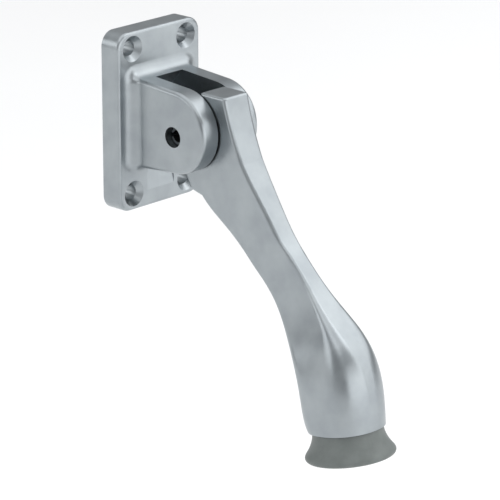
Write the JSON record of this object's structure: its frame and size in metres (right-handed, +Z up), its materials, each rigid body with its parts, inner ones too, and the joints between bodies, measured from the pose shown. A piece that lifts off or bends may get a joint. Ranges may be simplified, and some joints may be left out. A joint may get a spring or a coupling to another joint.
{
  "type": "floor door holder",
  "caption": "Kick-down lever door holder: a cast bracket for the face of a door, with a swinging cast lever whose flared rubber tip grips the floor.",
  "frame": {"origin": "middle of the bracket's back face, where it lies on the door", "axes": "+X along the pivot pin, +Y into the door, +Z up"},
  "size_m": [0.0348, 0.0991, 0.1197],
  "materials": {
    "satin_casting": "satin, cast and brushed",
    "spring_steel": "dark, oiled",
    "bearing_steel": "polished",
    "grey_rubber": "matt, moulded",
    "zinc_plated_steel": "bright zinc"
  },
  "bodies": {
    "bracket": {"mounting_bracket": "satin_casting", "pivot_pin": "spring_steel"},
    "lever": {"holder_arm": "satin_casting", "detent_spring": "spring_steel", "rubber_tip": "grey_rubber", "tip_washer": "zinc_plated_steel", "tip_screw": "zinc_plated_steel"},
    "left_ball": {"detent_ball_left": "bearing_steel"},
    "right_ball": {"detent_ball_right": "bearing_steel"}
  },
  "joints": [
    {"name": "arm_swing", "type": "hinge", "parent": "bracket", "child": "lever", "pos_m": [0, -0.0242, -0.0013], "axis": [-1, 0, 0], "range_deg": [-40, 136]},
    {"name": "left_ball_travel", "type": "slide", "parent": "lever", "child": "left_ball", "axis": [1, 0, 0], "range_m": [0, 0.0005], "stiffness_N_per_m": 1500, "springref_m": -0.002, "deforming": ["detent_spring"]},
    {"name": "right_ball_travel", "type": "slide", "parent": "lever", "child": "right_ball", "axis": [-1, 0, 0], "range_m": [0, 0.0005], "stiffness_N_per_m": 1500, "springref_m": -0.002, "deforming": ["detent_spring"]}
  ]
}
